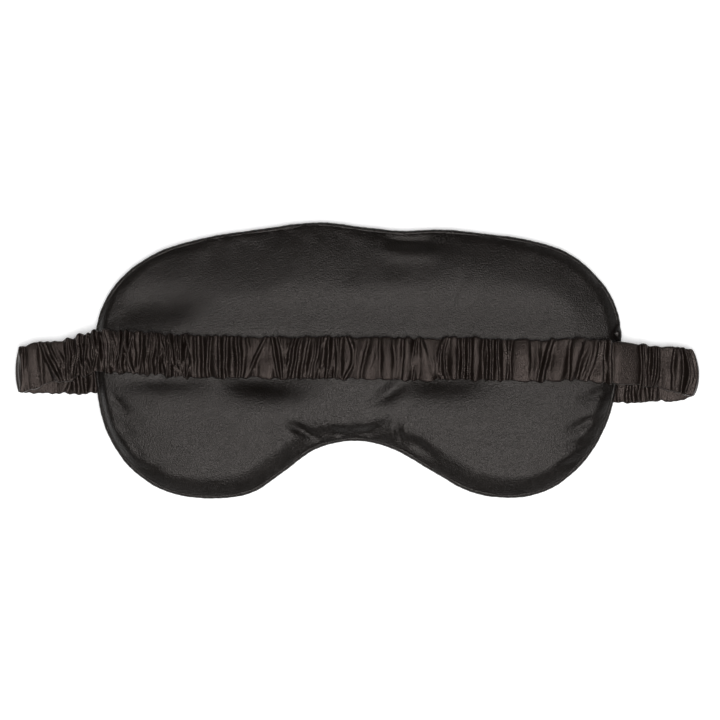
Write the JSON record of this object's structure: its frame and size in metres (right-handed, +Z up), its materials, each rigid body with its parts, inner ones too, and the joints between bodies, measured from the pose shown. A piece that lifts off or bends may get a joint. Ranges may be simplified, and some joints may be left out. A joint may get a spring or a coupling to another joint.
{
  "type": "sleep eye mask",
  "caption": "Padded satin sleep eye mask with piped edge and nose arch, and a ruched elastic strap that folds flat over the worn side and opens into a head loop.",
  "frame": {"origin": "middle of the bounding box, on the surface that the mask lies on", "axes": "+X along the strap, to the right seen from above; +Y towards the forehead edge; +Z up, towards the side worn against the face"},
  "size_m": [0.2858, 0.1153, 0.0144],
  "materials": {
    "panel_satin": "dark grey-brown woven satin, soft sheen",
    "strap_satin": "dark brown woven satin, ruched",
    "liner": "black closely woven lining",
    "wadding": "white polyester wadding",
    "cord_cotton": "twisted cotton cord",
    "thread": "dark polyester sewing thread",
    "elastic": "black braided elastic"
  },
  "bodies": {
    "mask": {"outer_panel": "panel_satin", "blackout_liner": "liner", "padding": "wadding", "face_panel": "panel_satin", "edge_piping": "panel_satin", "piping_cord": "cord_cotton", "seam_thread": "thread", "left_strap_tab": "strap_satin", "left_bar_tack": "thread", "right_strap_tab": "strap_satin", "right_bar_tack": "thread"},
    "left_side_strap": {"left_side_cover": "strap_satin", "left_side_elastic": "elastic"},
    "left_outer_strap": {"left_outer_cover": "strap_satin", "left_outer_elastic": "elastic"},
    "left_inner_strap": {"left_inner_cover": "strap_satin", "left_inner_elastic": "elastic"},
    "right_side_strap": {"right_side_cover": "strap_satin", "right_side_elastic": "elastic"},
    "right_outer_strap": {"right_outer_cover": "strap_satin", "right_outer_elastic": "elastic"},
    "right_inner_strap": {"right_inner_cover": "strap_satin", "right_inner_elastic": "elastic"}
  },
  "joints": [
    {"name": "left_seam", "type": "hinge", "parent": "mask", "child": "left_side_strap", "pos_m": [-0.1109, 0, 0.0039], "axis": [0, 1, 0], "range_deg": [0, 96]},
    {"name": "left_fold", "type": "hinge", "parent": "left_side_strap", "child": "left_outer_strap", "pos_m": [-0.1432, 0, 0.004], "axis": [0, 1, 0], "range_deg": [-145.64, 0]},
    {"name": "left_knee", "type": "hinge", "parent": "left_outer_strap", "child": "left_inner_strap", "pos_m": [-0.071, 0, 0.0126], "axis": [0, 1, 0], "range_deg": [0, 30.44]},
    {"name": "right_seam", "type": "hinge", "parent": "mask", "child": "right_side_strap", "pos_m": [0.1109, 0, 0.0039], "axis": [0, 1, 0], "range_deg": [-96, 0]},
    {"name": "right_fold", "type": "hinge", "parent": "right_side_strap", "child": "right_outer_strap", "pos_m": [0.1432, 0, 0.004], "axis": [0, 1, 0], "range_deg": [0, 145.64]},
    {"name": "right_knee", "type": "hinge", "parent": "right_outer_strap", "child": "right_inner_strap", "pos_m": [0.071, 0, 0.0126], "axis": [0, 1, 0], "range_deg": [-30.44, 0]}
  ],
  "couplings": [
    {"joint": "left_fold", "follows": "left_seam", "ratio": -1.516},
    {"joint": "left_knee", "follows": "left_seam", "ratio": 0.316},
    {"joint": "right_seam", "follows": "left_seam", "ratio": -1},
    {"joint": "right_fold", "follows": "left_seam", "ratio": 1.516},
    {"joint": "right_knee", "follows": "left_seam", "ratio": -0.316}
  ]
}
